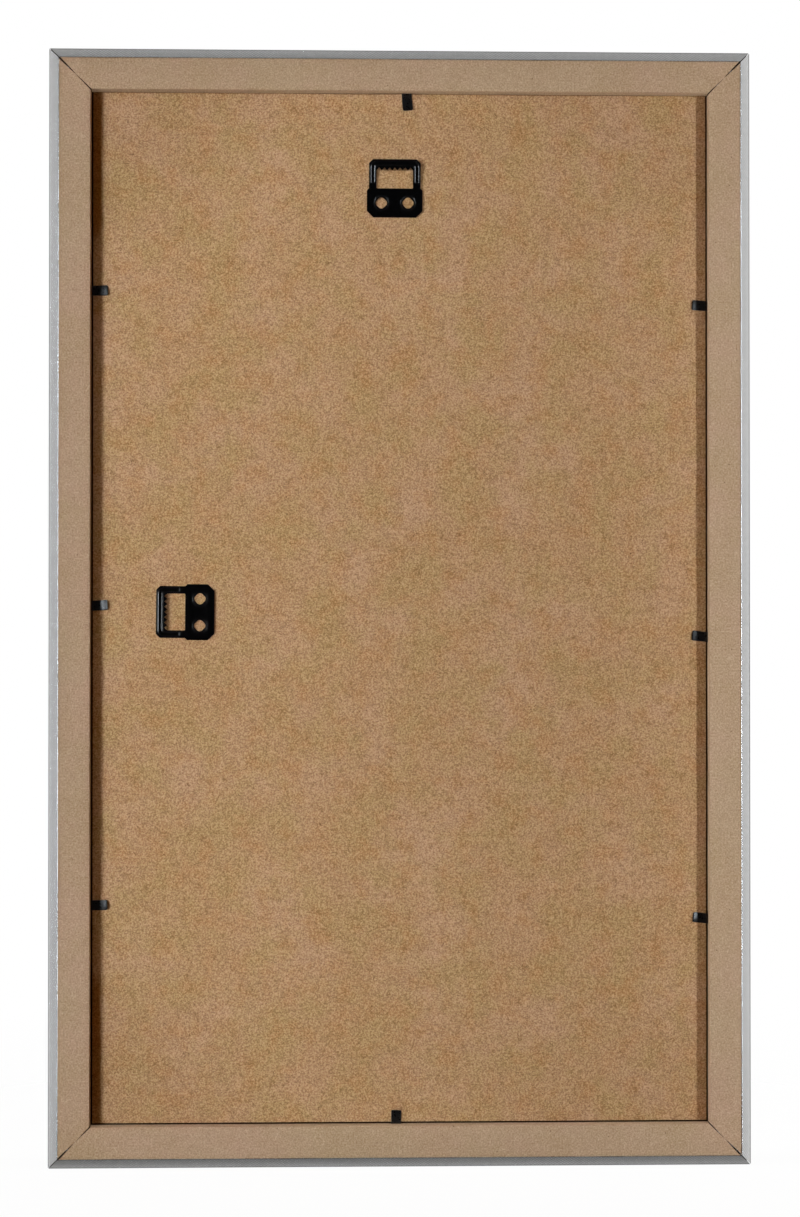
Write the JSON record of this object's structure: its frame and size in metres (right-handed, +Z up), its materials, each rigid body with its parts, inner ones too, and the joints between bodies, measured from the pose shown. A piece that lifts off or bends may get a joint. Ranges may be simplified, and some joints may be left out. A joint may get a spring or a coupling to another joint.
{
  "type": "picture frame",
  "caption": "Mitred fibreboard picture frame wrapped in silver foil, with glass and a backboard held by bendable steel tabs and hung by stamped sawtooth hangers.",
  "frame": {"origin": "middle notch of the top hanger, on the side towards the backboard, where the nail sits", "axes": "+Z up as it hangs upright, +Y out of the back towards the wall, +X to the left of someone who looks at the back"},
  "size_m": [0.3422, 0.018, 0.544],
  "materials": {
    "raw_fibreboard": "raw, sanded medium-density fibreboard",
    "brown_backboard": "raw brown fibreboard sheet",
    "silver_foil": "satin silver metallised foil with a fine brushed hatch",
    "clear_glass": "clear float glass",
    "white_card": "plain white card",
    "black_steel": "gloss black lacquered sheet steel",
    "bright_steel": "plain spring steel"
  },
  "bodies": {
    "frame": {"top_rail": "raw_fibreboard", "bottom_rail": "raw_fibreboard", "left_rail": "raw_fibreboard", "right_rail": "raw_fibreboard", "top_foil": "silver_foil", "bottom_foil": "silver_foil", "left_foil": "silver_foil", "right_foil": "silver_foil", "glass_pane": "clear_glass", "picture_sheet": "white_card", "backboard": "brown_backboard", "top_hanger_plate": "black_steel", "side_hanger_plate": "black_steel", "left_upper_tab_shank": "black_steel", "left_middle_tab_shank": "black_steel", "left_lower_tab_shank": "black_steel", "right_upper_tab_shank": "black_steel", "right_middle_tab_shank": "black_steel", "right_lower_tab_shank": "black_steel", "top_tab_shank": "black_steel", "bottom_tab_shank": "black_steel", "top_left_outer_vnail": "bright_steel", "top_left_inner_vnail": "bright_steel", "top_right_outer_vnail": "bright_steel", "top_right_inner_vnail": "bright_steel", "bottom_left_outer_vnail": "bright_steel", "bottom_left_inner_vnail": "bright_steel", "bottom_right_outer_vnail": "bright_steel", "bottom_right_inner_vnail": "bright_steel"},
    "left_upper_tab": {"left_upper_tab_blade": "black_steel"},
    "left_middle_tab": {"left_middle_tab_blade": "black_steel"},
    "left_lower_tab": {"left_lower_tab_blade": "black_steel"},
    "right_upper_tab": {"right_upper_tab_blade": "black_steel"},
    "right_middle_tab": {"right_middle_tab_blade": "black_steel"},
    "right_lower_tab": {"right_lower_tab_blade": "black_steel"},
    "top_tab": {"top_tab_blade": "black_steel"},
    "bottom_tab": {"bottom_tab_blade": "black_steel"},
    "top_hanger_loop": {"top_hanger_loop": "black_steel"},
    "side_hanger_loop": {"side_hanger_loop": "black_steel"}
  },
  "joints": [
    {"name": "left_upper_tab_bend", "type": "hinge", "parent": "frame", "child": "left_upper_tab", "pos_m": [0.14739, -0.00046, -0.06143], "axis": [-0.0349, 0, -0.9994], "range_deg": [0, 85]},
    {"name": "left_middle_tab_bend", "type": "hinge", "parent": "frame", "child": "left_middle_tab", "pos_m": [0.14739, -0.00046, -0.2151], "axis": [-0.0698, 0, -0.9976], "range_deg": [0, 85]},
    {"name": "left_lower_tab_bend", "type": "hinge", "parent": "frame", "child": "left_lower_tab", "pos_m": [0.14739, -0.00046, -0.36084], "axis": [-0.0175, 0, -0.9998], "range_deg": [0, 85]},
    {"name": "right_upper_tab_bend", "type": "hinge", "parent": "frame", "child": "right_upper_tab", "pos_m": [-0.15291, -0.00046, -0.0677], "axis": [-0.0698, 0, 0.9976], "range_deg": [0, 85]},
    {"name": "right_middle_tab_bend", "type": "hinge", "parent": "frame", "child": "right_middle_tab", "pos_m": [-0.15292, -0.00046, -0.23027], "axis": [-0.1219, 0, 0.9925], "range_deg": [0, 85]},
    {"name": "right_lower_tab_bend", "type": "hinge", "parent": "frame", "child": "right_lower_tab", "pos_m": [-0.15292, -0.00046, -0.36817], "axis": [-0.1132, 0, 0.9936], "range_deg": [0, 85]},
    {"name": "top_tab_bend", "type": "hinge", "parent": "frame", "child": "top_tab", "pos_m": [-0.00582, -0.00046, 0.0352], "axis": [0.9962, 0, -0.0872], "range_deg": [0, 85]},
    {"name": "bottom_tab_bend", "type": "hinge", "parent": "frame", "child": "bottom_tab", "pos_m": [-0.00058, -0.00046, -0.4669], "axis": [-0.9997, 0, -0.0262], "range_deg": [0, 85]},
    {"name": "top_hanger_bend", "type": "hinge", "parent": "frame", "child": "top_hanger_loop", "pos_m": [0.00003, -0.00021, -0.00995], "axis": [-1, 0, -0.0035], "range_deg": [-6, 80]},
    {"name": "side_hanger_bend", "type": "hinge", "parent": "frame", "child": "side_hanger_loop", "pos_m": [0.10304, -0.00021, -0.21814], "axis": [-0.0087, 0, 1], "range_deg": [-6, 80]}
  ]
}
